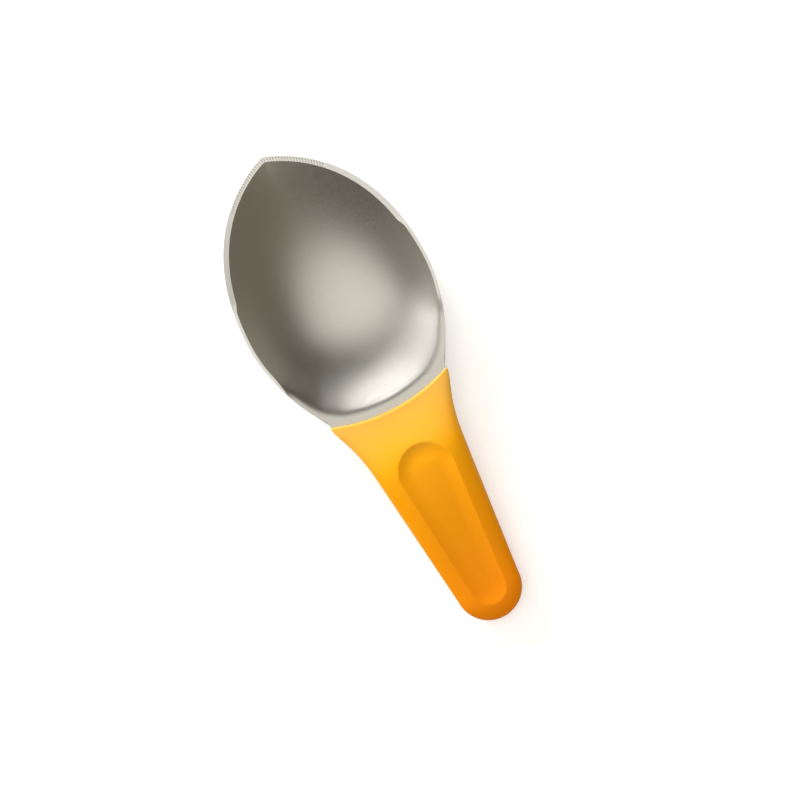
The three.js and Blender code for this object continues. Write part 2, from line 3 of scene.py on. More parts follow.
import bmesh
import bpy
import numpy as np
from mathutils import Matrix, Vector


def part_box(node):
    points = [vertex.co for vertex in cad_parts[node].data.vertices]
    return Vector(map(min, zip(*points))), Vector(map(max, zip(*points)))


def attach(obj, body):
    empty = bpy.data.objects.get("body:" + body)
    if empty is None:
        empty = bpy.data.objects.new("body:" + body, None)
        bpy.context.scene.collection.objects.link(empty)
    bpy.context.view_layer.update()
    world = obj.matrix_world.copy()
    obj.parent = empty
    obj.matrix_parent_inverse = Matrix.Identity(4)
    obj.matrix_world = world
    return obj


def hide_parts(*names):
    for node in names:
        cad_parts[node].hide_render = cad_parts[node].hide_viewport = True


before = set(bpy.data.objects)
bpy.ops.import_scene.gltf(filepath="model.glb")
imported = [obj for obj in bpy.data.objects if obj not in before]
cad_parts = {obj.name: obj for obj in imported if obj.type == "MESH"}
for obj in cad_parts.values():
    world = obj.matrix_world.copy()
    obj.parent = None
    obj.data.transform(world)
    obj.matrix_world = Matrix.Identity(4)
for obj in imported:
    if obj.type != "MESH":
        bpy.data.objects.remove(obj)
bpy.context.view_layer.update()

# Watermelon cutter: the finished surfaces of the steel scoop and of the two shells of its handle. The
# shapes are drawn in the tool's own frame in millimetres, as (distance from tip, across, height above
# the plane of the rim), and then laid down as the tool lies on the table.

MM = 0.001

# Scoop outline
BOWL_HALF_WIDTH = 41.4
WIDEST_FROM_TIP = 66.8
TIP_BLUNTNESS = 0.7
SIDE_REACH_FORWARD = 55
SIDE_REACH_BACK = 20.2
SHOULDER_FROM_TIP = 109.3
SHOULDER_HALF_WIDTH = 26.9
CAVITY_REAR_FROM_TIP = 114.3
CORNER_REACH = 9
CORNER_PULL = 0.6
CORNER_LIP_SHARE = 0.5

# Scoop depth and sheet
DEEPEST_FROM_TIP = 70
BOWL_DEPTH = 21
BELLY_FLATNESS = 2.1
BELLY_FRONT_REACH = 62
RIM_INFLUENCE = 4.5
TIP_INFLUENCE = 8
TIP_SOFTNESS = 0.12
STEEL = 1
REAR_BEND = 1.4
REAR_LIP = 1
BEND_FROM_TIP = 82
BEND_RUN = 16

# Ground edge
BEVEL_WIDTH = 2.5
BEVEL_END_FROM_TIP = 47
BEVEL_FADE = 5
TOOTH_PITCH = 1.25
TOOTH_DEPTH = 0.3
TOOTH_HALF_WIDTH = 0.5
TOOTH_COUNT = 21

# Tang
TANG_HALF_WIDTH = 9
TANG_LENGTH = 66
TANG_SHOULDER = 17
FLANGE_SHARES = (0.4, 0.2, 0)

# Handle
LENGTH = 215
FLANGE_WIDTH = 2.7
FRONT_HALF_WIDTH = 27.2
FLARE_LENGTH = 28.5
FLARE_HOLD = 0.2
FLARE_RUN_OUT = 2 / 3
TAPER_FRONT_HALF_WIDTH = 20.2
END_RADIUS = 14
TOP_AT_FRONT = 2.4
TOP_AT_CREST = 8
TOP_AT_END = 4.6
CREST_FROM_FRONT = 27
BOTTOM_AT_FRONT = 4.4
BOTTOM_AT_HEEL = 11
HEEL_FROM_END = 40
UNDERSIDE_ROUND = 7.5
MOST_ROUND = 0.85
EDGE_ROUND = 0.9
INNER_EDGE_ROUND = 0.3
BEHIND_LIP = (1.05, 1.6)
WALL = 2.2
FRONT_WALL_SHARE = 1.5
SEAM_GAP = 0.3
TOP_SQUARENESS = 2.6
END_SQUARENESS = 3.2

# Thumb recess
RECESS_FROM_FRONT = 16.5
RECESS_FROM_END = 7
RECESS_FRONT_RADIUS = 12
RECESS_END_RADIUS = 7.4
RECESS_DEPTH = 2.2
RECESS_END_DEPTH = 1.2
RECESS_WALL = 6.5

# Fineness of the meshes
OUTLINE_POINTS = 2001
DIRECTION_STEP = 0.01
TOOTH_COLUMNS = 10
SIDE_STEP = 1.0
CORNER_COLUMNS = 16
ARC_COLUMNS = 56
SHOULDER_POINTS = 6
BOWL_ROWS = 48
SHARE_STEP = 1e-3
BEVEL_ROWS = 3
TANG_SHOULDER_ROWS = 8
TANG_ROWS = 7
FLARE_ROWS = 84
TAPER_ROWS = 168
END_ROWS = 40
LAST_END_ANGLE = math.radians(89.5)
EDGE_ROWS = 6
SECTION_COLUMNS = 160
SAME_PLACE = 1e-7
STEEL_CREASE = 35
PLASTIC_CREASE = 40

# How the tool lies: the tip is the scoop's foremost and highest point, the tang's end its rearmost
tang_end = CAVITY_REAR_FROM_TIP + TANG_LENGTH
scoop_low, scoop_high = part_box("scoop_with_tang")
TILT = math.acos((scoop_high.y - scoop_low.y) / (tang_end * MM))


def laid(points):
    """Points of the tool's own frame, in millimetres, as places on or above the table in metres."""
    from_tip, across, height = np.moveaxis(np.asarray(points, float), -1, 0)
    forward = -from_tip * math.cos(TILT) - height * math.sin(TILT)
    upward = -from_tip * math.sin(TILT) + height * math.cos(TILT)
    above = np.maximum(upward * MM + scoop_high.z, 0)
    return np.stack([across * MM, forward * MM + scoop_high.y, above], axis=-1)


def ease(k):
    k = np.clip(k, 0, 1)
    return k * k * (3 - 2 * k)


def lerp(a, b, k):
    return a + (b - a) * k


def bezier(controls, k):
    """Points of a Bezier curve of any degree, one row for each value of k."""
    layer = [np.ones((len(k), 1)) * np.array(c, float) for c in controls]
    while len(layer) > 1:
        layer = [lerp(a, b, k[:, None]) for a, b in zip(layer, layer[1:])]
    return layer[0]


def along(points, lengths):
    """Places on a run of points at the given lengths from its start."""
    steps = np.linalg.norm(np.diff(points, axis=0), axis=1)
    run = np.concatenate([[0], np.cumsum(steps)])
    return np.stack([np.interp(lengths, run, points[:, i]) for i in range(2)], axis=1), run[-1]


# Finishes of the steel, by the number of their material. The last puts the darker sheet steel in the tooth
# gaps as painted shade.
SHEET, GROUND, SHADED_TOOTH_GAP = 0, 1, 2


class Skin:
    """A mesh that grows by sheets of quads between points that are shared."""

    def __init__(self):
        self.points = []
        self.faces = []
        self.finishes = []

    def add(self, points):
        """Adds points of the tool's frame and returns their numbers in the same arrangement."""
        flat = laid(points).reshape(-1, 3)
        first = len(self.points)
        self.points.extend(flat.tolist())
        return first + np.arange(len(flat)).reshape(np.shape(points)[:-1])

    def fill(self, faces, finish=SHEET):
        """Faces of point numbers, in the numbered finish."""
        self.faces.extend(faces)
        self.finishes.extend([finish] * len(faces))

    def sheet(self, rows, finish=SHEET):
        """Quads over rows of point numbers, in one finish or in one for each column of quads."""
        rows = np.asarray(rows)
        corners = np.stack([rows[:-1, :-1], rows[:-1, 1:], rows[1:, 1:], rows[1:, :-1]], axis=-1)
        self.faces.extend(corners.reshape(-1, 4).tolist())
        self.finishes.extend(np.broadcast_to(finish, corners.shape[:2]).ravel().tolist())

    def fan(self, ring, centre):
        """Triangles from a closed ring of point numbers to one point."""
        self.fill([[a, b, centre] for a, b in zip(ring, np.roll(ring, -1))])

    def fan_between(self, run, first, last):
        """Triangles from a run of point numbers to an edge that its two ends lead to."""
        middle = len(run) // 2
        steps = enumerate(zip(run, run[1:]))
        self.fill([[a, b, first if i < middle else last] for i, (a, b) in steps])
        self.fill([[run[middle], last, first]])

    def piece(self, name, sharp):
        """The closed mesh as an object, smooth but for edges sharper than an angle in degrees and where two
        finishes meet. Points in the same place become one."""
        mesh = bpy.data.meshes.new(name)
        mesh.from_pydata(self.points, [], self.faces)
        mesh.polygons.foreach_set("material_index", self.finishes)
        work = bmesh.new()
        work.from_mesh(mesh)
        bmesh.ops.remove_doubles(work, verts=work.verts, dist=SAME_PLACE)
        bmesh.ops.recalc_face_normals(work, faces=work.faces)
        for edge in work.edges:
            finishes = {face.material_index for face in edge.link_faces}
            edge.smooth = len(finishes) == 1 and edge.calc_face_angle(0) < math.radians(sharp)
        work.to_mesh(mesh)
        work.free()
        mesh.shade_smooth()
        piece = bpy.data.objects.new(name, mesh)
        bpy.context.scene.collection.objects.link(piece)
        return piece


# Scoop

rear_sagitta = CAVITY_REAR_FROM_TIP - SHOULDER_FROM_TIP
rear_radius = (SHOULDER_HALF_WIDTH**2 + rear_sagitta**2) / (2 * rear_sagitta)
rear_centre = CAVITY_REAR_FROM_TIP - rear_radius
rear_half_angle = math.asin(SHOULDER_HALF_WIDTH / rear_radius)
arc_end_angle = rear_half_angle - CORNER_REACH / rear_radius


def arc_point(angle):
    """A place on the arc along the rear of the cavity."""
    place = [rear_centre + rear_radius * np.cos(angle), rear_radius * np.sin(angle)]
    return np.stack(place, axis=-1)


class Rim:
    """The rim as columns round the bowl: its place, how far it belongs to the rear bend, and the depth
    of the tooth gap there."""

    def __init__(self):
        k = np.linspace(0, 1, OUTLINE_POINTS)
        start = WIDEST_FROM_TIP - SIDE_REACH_FORWARD
        widest = (WIDEST_FROM_TIP, BOWL_HALF_WIDTH)
        tip_side = bezier([(0, 0), (0, TIP_BLUNTNESS), (start, BOWL_HALF_WIDTH), widest], k)
        turn = (WIDEST_FROM_TIP + SIDE_REACH_BACK, BOWL_HALF_WIDTH)
        rear_side = bezier([widest, turn, (SHOULDER_FROM_TIP, SHOULDER_HALF_WIDTH)], k)
        corner, rear_side, self.shoulder = self.corner(rear_side)
        outline = np.concatenate([tip_side, rear_side[1:]])
        length = along(outline, [0])[1]
        toothed = TOOTH_COUNT * TOOTH_PITCH
        lengths = np.concatenate([
            np.linspace(0, toothed, TOOTH_COUNT * TOOTH_COLUMNS + 1),
            np.linspace(toothed, length, round((length - toothed) / SIDE_STEP))[1:],
        ])
        side = along(outline, lengths)[0]
        phase = lengths % TOOTH_PITCH - TOOTH_PITCH / 2
        gap = TOOTH_DEPTH * np.clip(1 - np.abs(phase) / TOOTH_HALF_WIDTH, 0, 1) * (lengths < toothed)
        arc = arc_point(np.linspace(arc_end_angle, -arc_end_angle, ARC_COLUMNS + 1)[1:-1])
        mirror = np.array([1, -1])
        rear = np.concatenate([corner, arc, corner[::-1] * mirror])
        self.from_tip, self.across = np.concatenate([side[:-1], rear, side[-2:0:-1] * mirror]).T
        self.rear = ease((self.from_tip - BEND_FROM_TIP) / BEND_RUN)
        self.gap = np.concatenate([gap[:-1], np.zeros(len(rear)), gap[-2:0:-1]])
        self.first = len(side) - 1
        self.last = self.first + len(rear) - 1
        self.rear_columns = slice(self.first, self.last + 1)

    def corner(self, rear_side):
        """The rounded corner between the side and the rear arc, the side cut short in front of it, and the
        outline of the flange beside it."""
        length = along(rear_side, [0])[1]
        side_end = length - CORNER_REACH
        near, start = along(rear_side, [side_end - DIRECTION_STEP, side_end])[0]
        leave = (start - near) / np.linalg.norm(start - near)
        arrive = np.array([math.sin(arc_end_angle), -math.cos(arc_end_angle)])
        finish = arc_point(arc_end_angle)
        pull = CORNER_REACH * CORNER_PULL
        controls = [start, start + pull * leave, finish - pull * arrive, finish]
        short = along(rear_side, np.linspace(0, side_end, len(rear_side)))[0]
        beside = along(rear_side, np.linspace(side_end, length, SHOULDER_POINTS + 1)[1:])[0]
        lip = 1 + REAR_LIP / rear_radius * np.linspace(1, CORNER_LIP_SHARE, SHOULDER_POINTS + 1)[1:]
        forward = lerp(DEEPEST_FROM_TIP, beside[:, 0], lip)
        shoulder = np.stack([forward, beside[:, 1] * lip, 0 * lip], axis=-1)
        return bezier(controls, np.linspace(0, 1, CORNER_COLUMNS + 1)), short, shoulder


rim = Rim()
rim_along = rim.from_tip - DEEPEST_FROM_TIP
rim_reach = np.hypot(rim_along, rim.across)
rim_cos = rim_along / rim_reach
rim_sin = rim.across / rim_reach
belly_reach = np.where(rim_along < 0, BELLY_FRONT_REACH, CAVITY_REAR_FROM_TIP - DEEPEST_FROM_TIP)
oval_reach = 1 / np.hypot(rim_cos / belly_reach, rim_sin / BOWL_HALF_WIDTH)
tip_turn = DEEPEST_FROM_TIP * (WIDEST_FROM_TIP - SIDE_REACH_FORWARD) / BOWL_HALF_WIDTH
aside = np.arctan2(np.abs(rim.across), -rim_along)
soft_reach = rim_reach - tip_turn * (np.hypot(aside, TIP_SOFTNESS) - aside)


def underside(share, rear=rim.rear):
    """The underside of the bowl in every column, at shares of the way from the deepest point to the rim."""
    near_rim = np.minimum(share, 1) ** RIM_INFLUENCE
    leaf_reach = lerp(soft_reach, rim_reach, np.minimum(share, 1) ** TIP_INFLUENCE)
    reach = share * lerp(oval_reach, leaf_reach, near_rim)
    drop = BOWL_DEPTH * np.maximum(1 - share**BELLY_FLATNESS, 0)
    eased = lerp(drop, np.hypot(drop, REAR_BEND) - REAR_BEND, rear * near_rim)
    upright = 1 - rear
    sunk = STEEL * (1 - upright**2) / np.hypot(1, upright)
    height = -eased - sunk * near_rim
    return np.stack([DEEPEST_FROM_TIP + reach * rim_cos, reach * rim_sin, height], axis=-1)


def upward(share, rear=rim.rear):
    """The unit normal of the underside, on the open side of the bowl."""
    out = underside(share + SHARE_STEP, rear) - underside(share - SHARE_STEP, rear)
    here = underside(share, rear)
    round_rim = np.roll(here, -1, axis=-2) - np.roll(here, 1, axis=-2)
    normal = np.cross(out, round_rim)
    normal /= np.linalg.norm(normal, axis=-1, keepdims=True)
    return normal * np.sign(normal[..., 2:])


def bowl_rows():
    """Rows of the inner face, the ground edge and the underside, from the deepest point out and back."""
    end = 1 + REAR_LIP * rim.rear / rear_radius
    # The cut at the rim is level on the wall as it would be without the rear bend, and square in the bend.
    normal = upward(np.full(len(rim.rear), 1 - SHARE_STEP), np.zeros(len(rim.rear)))
    lean = np.hypot(normal[:, 0], normal[:, 1])
    wall = underside(1.0) - underside(1 - SHARE_STEP)
    wall_run = np.hypot(wall[:, 0], wall[:, 1])
    wall_rate = wall_run / SHARE_STEP
    ground = 1 - ease((rim.from_tip - BEVEL_END_FROM_TIP) / BEVEL_FADE)
    width = lerp(STEEL / lean, BEVEL_WIDTH, ground)
    inner_end = end - (width - STEEL * lean) / wall_rate * (1 - rim.rear)
    shares = np.linspace(0, 1, BOWL_ROWS + 1)[1:, None]
    inner = underside(shares * inner_end) + STEEL * upward(shares * inner_end)
    # A tooth gap sinks the ground face at the edge, so the edge moves in along the underside.
    wedge = wall[:, 2] / wall_run + inner[-1][:, 2] / width
    outer_end = end - rim.gap / (wedge + rim.gap / width) / wall_rate
    edge = underside(outer_end)
    bevel = [lerp(inner[-1], edge, k) for k in np.linspace(0, 1, BEVEL_ROWS + 1)[1:]]
    outer = underside(shares[-2::-1] * outer_end)
    return inner, np.stack(bevel), outer


def plate_row(centre, half, bow):
    """One row across the flange or tang, bowed like the cavity's rear edge."""
    rear = rim.across[rim.rear_columns]
    across = rear / rear[0] * half
    sagitta = rear_radius - np.sqrt(rear_radius**2 - across**2)
    return np.stack([centre - bow * sagitta, across, np.zeros(len(across))], axis=-1)


def plate_rows():
    """The flat behind the cavity: flange, narrowing shoulders and the tang with its round end."""
    half = SHOULDER_HALF_WIDTH
    flange = CAVITY_REAR_FROM_TIP + FLANGE_WIDTH
    narrow = flange + TANG_SHOULDER
    rows = [plate_row(flange - FLANGE_WIDTH * k, half, 1) for k in FLANGE_SHARES]
    for k in np.linspace(0, 1, TANG_SHOULDER_ROWS + 1)[1:]:
        rows.append(plate_row(lerp(flange, narrow, k), lerp(half, TANG_HALF_WIDTH, ease(k)), 1 - k))
    straight_end = tang_end - TANG_HALF_WIDTH
    for k in np.linspace(0, 1, TANG_ROWS + 1)[1:-1]:
        rows.append(plate_row(lerp(narrow, straight_end, k), TANG_HALF_WIDTH, 0))
    last = plate_row(straight_end, TANG_HALF_WIDTH, 0)
    last[:, 0] += np.sqrt(np.maximum(TANG_HALF_WIDTH**2 - last[:, 1] ** 2, 0))
    return np.stack([*rows, last])


def closed(rows):
    """Rows of point numbers that come round to their first column again."""
    return np.concatenate([rows, rows[:, :1]], axis=1)


def make_scoop():
    """The scoop as one closed sheet: the bowl's faces, the ground edge, the flange and the tang."""
    skin = Skin()
    inner, bevel, outer = bowl_rows()
    inner_rows = skin.add(inner)
    bevel_rows = skin.add(bevel)
    outer_rows = skin.add(outer)
    skin.sheet(closed(inner_rows))
    deepest = (DEEPEST_FROM_TIP, 0, -BOWL_DEPTH)
    skin.fan(inner_rows[0], skin.add(np.array([deepest]) + [0, 0, STEEL])[0])
    edge_rows = np.concatenate([inner_rows[-1:], bevel_rows])
    # The deeper half of each tooth gap gets the darker sheet steel instead of the paler ground face: painted
    # shade in the notches.
    deep = (rim.gap + np.roll(rim.gap, -1)) / 2 > TOOTH_DEPTH / 2
    finish = np.where(deep, SHADED_TOOTH_GAP, GROUND)
    skin.sheet(edge_rows[:, : rim.first + 1], finish[: rim.first])
    skin.sheet(closed(edge_rows)[:, rim.last :], finish[rim.last :])
    skin.sheet(closed(np.concatenate([bevel_rows[-1:], outer_rows])))
    skin.fan(outer_rows[-1], skin.add(np.array([deepest]))[0])
    # The flange and tang carry on from both faces behind the cavity.
    plate = plate_rows()
    top = np.concatenate([inner_rows[-1:, rim.rear_columns], skin.add(plate)])
    bottom = np.concatenate([bevel_rows[-1:, rim.rear_columns], skin.add(plate - [0, 0, STEEL])])
    skin.sheet(top)
    skin.sheet(bottom)
    skin.sheet(np.stack([top[-1], bottom[-1]]))
    for column, edge, side in ((0, rim.first, 1), (-1, rim.last, -1)):
        corner = edge_rows[:, edge]
        shoulder = skin.add(rim.shoulder * [1, side, 1])
        below = skin.add(rim.shoulder * [1, side, 1] - [0, 0, STEEL])
        skin.fill([[corner[0], *shoulder, top[1, column]], [corner[-1], *below, bottom[1, column]]])
        skin.fan_between(corner, shoulder[0], below[0])
        outline = [[*shoulder, *top[1:, column]], [*below, *bottom[1:, column]]]
        skin.sheet(np.array(outline))
    return skin.piece("scoop_with_tang_finish", STEEL_CREASE)


# Handle

handle_front = CAVITY_REAR_FROM_TIP + FLANGE_WIDTH
front_corner = SHOULDER_FROM_TIP + FLANGE_WIDTH * math.cos(rear_half_angle)
front_sagitta = handle_front - front_corner
front_radius = (FRONT_HALF_WIDTH**2 + front_sagitta**2) / (2 * front_sagitta)
taper_front = front_corner + FLARE_LENGTH
end_centre = LENGTH - END_RADIUS
taper = (TAPER_FRONT_HALF_WIDTH - END_RADIUS) / (end_centre - taper_front)
heel = LENGTH - HEEL_FROM_END
seam = -STEEL / 2


def bow(across):
    """How far the front edge curves forward at a distance from the middle."""
    return front_radius - np.sqrt(front_radius**2 - np.minimum(np.abs(across), FRONT_HALF_WIDTH) ** 2)


def handle_stations(inset):
    """Stations along the handle as (centre, half width, how far it is bowed like the front edge)."""
    run_out = FLARE_RUN_OUT * FLARE_LENGTH
    flare = bezier(
        [
            (front_corner, FRONT_HALF_WIDTH),
            (front_corner + FLARE_HOLD * FLARE_LENGTH, FRONT_HALF_WIDTH),
            (taper_front - run_out, TAPER_FRONT_HALF_WIDTH + taper * run_out),
            (taper_front, TAPER_FRONT_HALF_WIDTH),
        ],
        np.linspace(0, 1, FLARE_ROWS + 1)[1:],
    )
    run = np.linspace(taper_front, end_centre, TAPER_ROWS + 1)[1:]
    straight = np.stack([run, END_RADIUS + taper * (end_centre - run)], axis=-1)
    angle = np.linspace(0, LAST_END_ANGLE, END_ROWS + 1)[1:]
    around = np.stack([end_centre + END_RADIUS * np.sin(angle), END_RADIUS * np.cos(angle)], axis=-1)
    side = np.concatenate([flare, straight, around])
    from_tip, half = side.T
    past_end = np.clip((from_tip - end_centre) / END_RADIUS, 0, 1)
    from_tip = np.where(from_tip > end_centre, from_tip - inset * past_end, from_tip)
    half = np.where(from_tip > end_centre, half * (1 - inset / END_RADIUS), half - inset)
    bowed = 1 - ease((from_tip - front_corner) / FLARE_LENGTH)
    return np.stack([from_tip + bowed * bow(half), half, bowed], axis=-1)


def end_rounding(from_tip, inset):
    """The share of its height that the handle keeps towards its round end."""
    past = np.clip((from_tip - end_centre) / (END_RADIUS - inset), 0, 1)
    return (1 - past**2) ** (1 / END_SQUARENESS)


def top_height(from_tip):
    """The height of the handle's back, which rises to a crest behind the front and falls to the end."""
    crest = handle_front + CREST_FROM_FRONT
    rise = lerp(TOP_AT_FRONT, TOP_AT_CREST, ease((from_tip - handle_front) / CREST_FROM_FRONT))
    fall = lerp(TOP_AT_CREST, TOP_AT_END, ease((from_tip - crest) / (end_centre - crest)))
    return np.where(from_tip < crest, rise, fall)


def bottom_depth(from_tip):
    """The depth of the handle's underside, which from the heel back is the flat on the table."""
    front = lerp(BOTTOM_AT_FRONT, BOTTOM_AT_HEEL, ease((from_tip - handle_front) / (heel - handle_front)))
    return np.where(from_tip < heel, front, BOTTOM_AT_HEEL - (from_tip - heel) * math.tan(TILT))


def inside_recess(from_tip, across):
    """How far a place lies inside the recess, a belt round a large circle in front and a small one behind."""
    front = handle_front + RECESS_FROM_FRONT + RECESS_FRONT_RADIUS
    run = LENGTH - RECESS_FROM_END - RECESS_END_RADIUS - front
    sin = (RECESS_FRONT_RADIUS - RECESS_END_RADIUS) / run
    cos = math.sqrt(1 - sin**2)
    y = from_tip - front
    x = np.abs(across)
    at = cos * y - sin * x
    between = RECESS_FRONT_RADIUS - cos * x - sin * y
    before = RECESS_FRONT_RADIUS - np.hypot(x, y)
    after = RECESS_END_RADIUS - np.hypot(x, y - run)
    return np.where(at < 0, before, np.where(at > cos * run, after, between))


def recess_depth(from_tip, across):
    """Depth of the recess: a crisp edge, a wall that runs into the floor, and a floor that rises towards
    the end."""
    left = 1 - np.clip(inside_recess(from_tip, across) / RECESS_WALL, 0, 1)
    start = handle_front + RECESS_FROM_FRONT
    share = (from_tip - start) / (LENGTH - RECESS_FROM_END - start)
    return lerp(RECESS_DEPTH, RECESS_END_DEPTH, share) * (1 - left**2)


def handle_grid(sign, inset):
    """Rows of points over one half of the handle, from its front edge to its end. sign is 1 above the seam
    and -1 below it."""
    face = seam + sign * SEAM_GAP / 2
    edge = EDGE_ROUND if inset == 0 else INNER_EDGE_ROUND
    front = handle_front + FRONT_WALL_SHARE * inset
    angle = np.linspace(0, math.pi / 2, EDGE_ROWS + 1)
    short = edge * (1 - np.sin(angle))
    back = front + edge * (1 - np.cos(angle))
    lip = np.stack([back, FRONT_HALF_WIDTH - inset - short, np.ones(len(angle))], axis=-1)
    stations = handle_stations(inset)
    stations[:, 0] = np.maximum(stations[:, 0], front + edge * np.linspace(*BEHIND_LIP, len(stations)))
    stations = np.concatenate([lip[:1], lip, stations])
    short = np.concatenate([[0], short, np.zeros(len(stations) - len(short) - 1)])
    centre, half, bowed = stations.T[:, :, None]
    u = np.linspace(0, math.pi, SECTION_COLUMNS + 1)
    if sign > 0:
        across = half * np.sign(np.cos(u)) * np.abs(np.cos(u)) ** (2 / TOP_SQUARENESS)
        shape = np.sin(u) ** (2 / TOP_SQUARENESS)
        full = top_height(centre) - face
    else:
        rounding = np.minimum(UNDERSIDE_ROUND, half * MOST_ROUND)
        right = np.clip(1.5 * u, 0, math.pi / 2)
        left = np.clip(1.5 * (math.pi - u), 0, math.pi / 2)
        middle = np.clip(3 * u / math.pi - 1, 0, 1)
        across = rounding * (np.cos(right) - np.cos(left)) + lerp(1, -1, middle) * (half - rounding)
        shape = np.sin(np.minimum(right, left))
        full = bottom_depth(centre) + face
    from_tip = centre - bowed * bow(across)
    height = (full - short[:, None] - inset) * shape * end_rounding(centre, inset)
    if sign > 0:
        height = height - recess_depth(from_tip, across)
    height[0] = 0
    return np.stack([from_tip, across, face + sign * np.maximum(height, 0)], axis=-1)


def make_shell(name, sign):
    """One half of the handle as a closed shell: its outer and inner faces, joined along the seam."""
    skin = Skin()
    outer = skin.add(handle_grid(sign, 0))
    inner = skin.add(handle_grid(sign, WALL))
    skin.sheet(outer)
    skin.sheet(inner)
    skin.sheet(np.stack([outer[0], inner[0]]))
    skin.sheet(np.stack([outer[-1], inner[-1]]))
    skin.sheet(np.stack([outer[:, 0], inner[:, 0]]))
    skin.sheet(np.stack([outer[:, -1], inner[:, -1]]))
    return skin.piece(name, PLASTIC_CREASE)


# Materials


def new_material(name):
    """A new material, its node tree and its shader."""
    material = bpy.data.materials.new(name)
    material.use_nodes = True
    tree = material.node_tree
    shader = tree.nodes["Principled BSDF"]
    return material, tree, shader


def noise(tree, scale, stretch=(1, 1, 1), detail=3):
    """A noise over the object's own coordinates, in metres, stretched along its axes."""
    place = tree.nodes.new("ShaderNodeTexCoord")
    mapping = tree.nodes.new("ShaderNodeMapping")
    mapping.inputs["Scale"].default_value = stretch
    texture = tree.nodes.new("ShaderNodeTexNoise")
    texture.inputs["Scale"].default_value = scale
    texture.inputs["Detail"].default_value = detail
    tree.links.new(place.outputs["Object"], mapping.inputs["Vector"])
    tree.links.new(mapping.outputs["Vector"], texture.inputs["Vector"])
    return texture.outputs["Fac"]


def spread(tree, value, low, high, start=0.25, end=0.75):
    """A value from low to high as another goes from start to end, such as a noise."""
    node = tree.nodes.new("ShaderNodeMapRange")
    node.inputs["From Min"].default_value = start
    node.inputs["From Max"].default_value = end
    node.inputs["To Min"].default_value = low
    node.inputs["To Max"].default_value = high
    tree.links.new(value, node.inputs["Value"])
    return node.outputs["Result"]


def mix_colours(tree, factor, first, second):
    """A mix of two colours, each of them fixed or the output of a node."""
    node = tree.nodes.new("ShaderNodeMix")
    node.data_type = "RGBA"
    for socket, colour in ((node.inputs[6], first), (node.inputs[7], second)):
        if isinstance(colour, tuple):
            socket.default_value = (*colour, 1)
        else:
            tree.links.new(colour, socket)
    tree.links.new(factor, node.inputs[0])
    return node.outputs[2]


def bump(tree, height, distance, strength):
    """A normal that is roughened by a height."""
    node = tree.nodes.new("ShaderNodeBump")
    node.inputs["Distance"].default_value = distance
    node.inputs["Strength"].default_value = strength
    tree.links.new(height, node.inputs["Height"])
    return node.outputs["Normal"]


def steel_material():
    """Satin stainless steel, brushed across the tool."""
    material, tree, shader = new_material("satin_steel")
    shader.inputs["Metallic"].default_value = 1
    brushed = noise(tree, 25, (1, 75, 75), 3)
    cloudy = noise(tree, 30)
    colour = mix_colours(tree, cloudy, (0.6, 0.58, 0.535), (0.65, 0.635, 0.59))
    tree.links.new(colour, shader.inputs["Base Color"])
    tree.links.new(spread(tree, brushed, 0.3, 0.4), shader.inputs["Roughness"])
    tree.links.new(bump(tree, brushed, 0.00005, 0.4), shader.inputs["Normal"])
    return material


def ground_material():
    """The freshly ground face of the edge: paler and more matt than the brushed sheet."""
    material, tree, shader = new_material("ground_edge")
    shader.inputs["Metallic"].default_value = 0.5
    scratched = noise(tree, 900, detail=2)
    colour = mix_colours(tree, scratched, (0.7, 0.685, 0.66), (0.82, 0.805, 0.78))
    tree.links.new(colour, shader.inputs["Base Color"])
    tree.links.new(spread(tree, scratched, 0.5, 0.62), shader.inputs["Roughness"])
    tree.links.new(bump(tree, scratched, 0.00002, 0.3), shader.inputs["Normal"])
    return material


def plastic_material():
    """Moulded plastic with a fine satin grain, orange, with painted shade that deepens it towards the end and
    a painted sheen that makes it paler and yellower towards the front.
    """
    material, tree, shader = new_material("handle_plastic")
    place = tree.nodes.new("ShaderNodeTexCoord")
    parts = tree.nodes.new("ShaderNodeSeparateXYZ")
    tree.links.new(place.outputs["Object"], parts.inputs["Vector"])
    share = spread(tree, parts.outputs["Y"], 0, 1, -LENGTH / 2 * MM, 0)
    clouded = tree.nodes.new("ShaderNodeMath")
    clouded.operation = "MULTIPLY_ADD"
    tree.links.new(noise(tree, 45), clouded.inputs[0])
    clouded.inputs[1].default_value = 0.1
    tree.links.new(share, clouded.inputs[2])
    # The colour runs from painted shade at the end, through the plastic's own orange, to a painted sheen,
    # paler and yellower, at the front.
    ramp = tree.nodes.new("ShaderNodeValToRGB")
    stops = ramp.color_ramp.elements
    stops[0].color = (0.85, 0.225, 0.001, 1)
    stops[1].color = (0.92, 0.5, 0.085, 1)
    stops.new(0.6).color = (0.9, 0.335, 0.002, 1)
    stops.new(0.76).color = (0.91, 0.38, 0.004, 1)
    tree.links.new(clouded.outputs["Value"], ramp.inputs["Fac"])
    tree.links.new(ramp.outputs["Color"], shader.inputs["Base Color"])
    grain = noise(tree, 2600, detail=2)
    tree.links.new(spread(tree, grain, 0.38, 0.48), shader.inputs["Roughness"])
    tree.links.new(bump(tree, grain, 0.00003, 0.3), shader.inputs["Normal"])
    shader.inputs["Specular IOR Level"].default_value = 0.08
    return material


def floor_material():
    """A matt white floor that shows as white to the camera and keeps the shadow."""
    material, tree, shader = new_material("floor_white")
    shader.inputs["Base Color"].default_value = (0.8, 0.8, 0.8, 1)
    shader.inputs["Roughness"].default_value = 0.9
    shader.inputs["Specular IOR Level"].default_value = 0.1
    path = tree.nodes.new("ShaderNodeLightPath")
    glow = tree.nodes.new("ShaderNodeMath")
    glow.operation = "MULTIPLY"
    glow.inputs[1].default_value = 0.4
    tree.links.new(path.outputs["Is Camera Ray"], glow.inputs[0])
    shader.inputs["Emission Color"].default_value = (1, 1, 1, 1)
    tree.links.new(glow.outputs[0], shader.inputs["Emission Strength"])
    return material


# Assembly

plastic = plastic_material()
steel = steel_material()

scoop = make_scoop()
top = make_shell("handle_top_finish", 1)
bottom = make_shell("handle_bottom_finish", -1)
